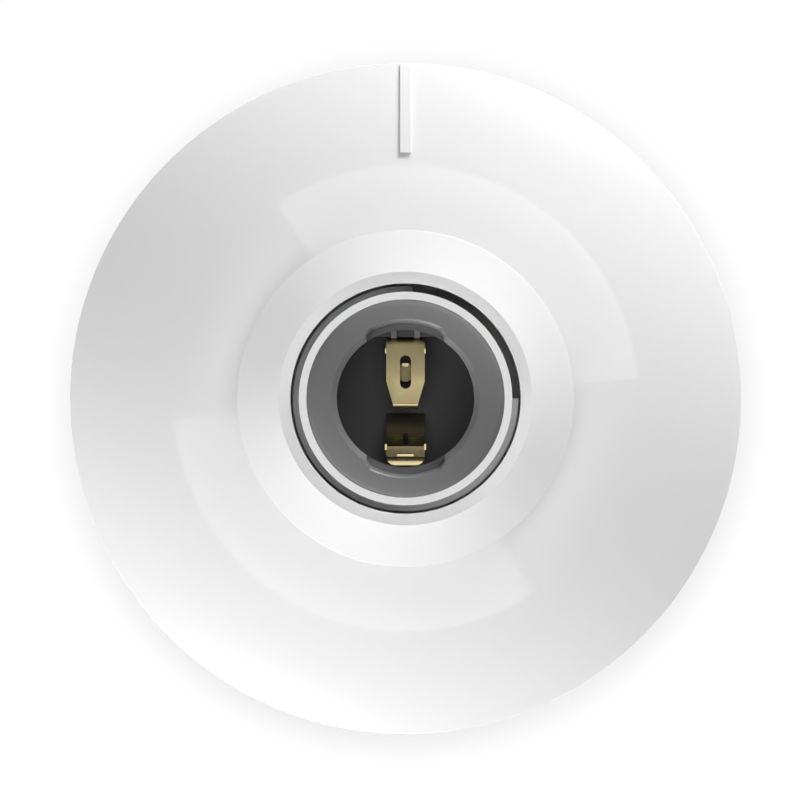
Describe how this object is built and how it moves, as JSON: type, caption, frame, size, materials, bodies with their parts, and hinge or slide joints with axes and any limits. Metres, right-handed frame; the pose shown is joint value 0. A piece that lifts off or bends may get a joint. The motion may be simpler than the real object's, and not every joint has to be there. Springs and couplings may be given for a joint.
{
  "type": "batten lampholder",
  "caption": "Round white surface-mounted lampholder: a domed cover screws over a base that carries a dark screw-cap lamp socket, brass spring contacts and screw terminals.",
  "frame": {"origin": "centre of the base's back face, which lies on the wall or ceiling", "axes": "+Z out of the wall along the socket's axis, +Y towards the raised bar on the cover's brim"},
  "size_m": [0.12, 0.12, 0.042],
  "materials": {
    "white_plastic": "glossy",
    "dark_plastic": "satin",
    "brass": "satin",
    "zinc_steel": "zinc plated"
  },
  "bodies": {
    "base": {"base": "white_plastic", "socket_core": "dark_plastic", "centre_contact": "brass", "side_contact": "brass", "centre_contact_rivet": "brass", "side_contact_rivet": "brass", "core_screws": "zinc_steel", "live_terminal_strip": "brass", "live_terminal_nut": "zinc_steel", "neutral_terminal_strip": "brass", "neutral_terminal_nut": "zinc_steel"},
    "cover": {"cover": "white_plastic"},
    "live_screw": {"live_terminal_screw": "zinc_steel", "live_clamp_washer": "zinc_steel"},
    "neutral_screw": {"neutral_terminal_screw": "zinc_steel", "neutral_clamp_washer": "zinc_steel"}
  },
  "joints": [
    {"name": "cover_lift", "type": "slide", "parent": "base", "child": "cover", "axis": [0, 0, 1], "range_m": [0, 0.024]},
    {"name": "live_screw_back_out", "type": "slide", "parent": "base", "child": "live_screw", "axis": [0, 0, 1], "range_m": [0, 0.0025]},
    {"name": "neutral_screw_back_out", "type": "slide", "parent": "base", "child": "neutral_screw", "axis": [0, 0, 1], "range_m": [0, 0.0025]}
  ]
}
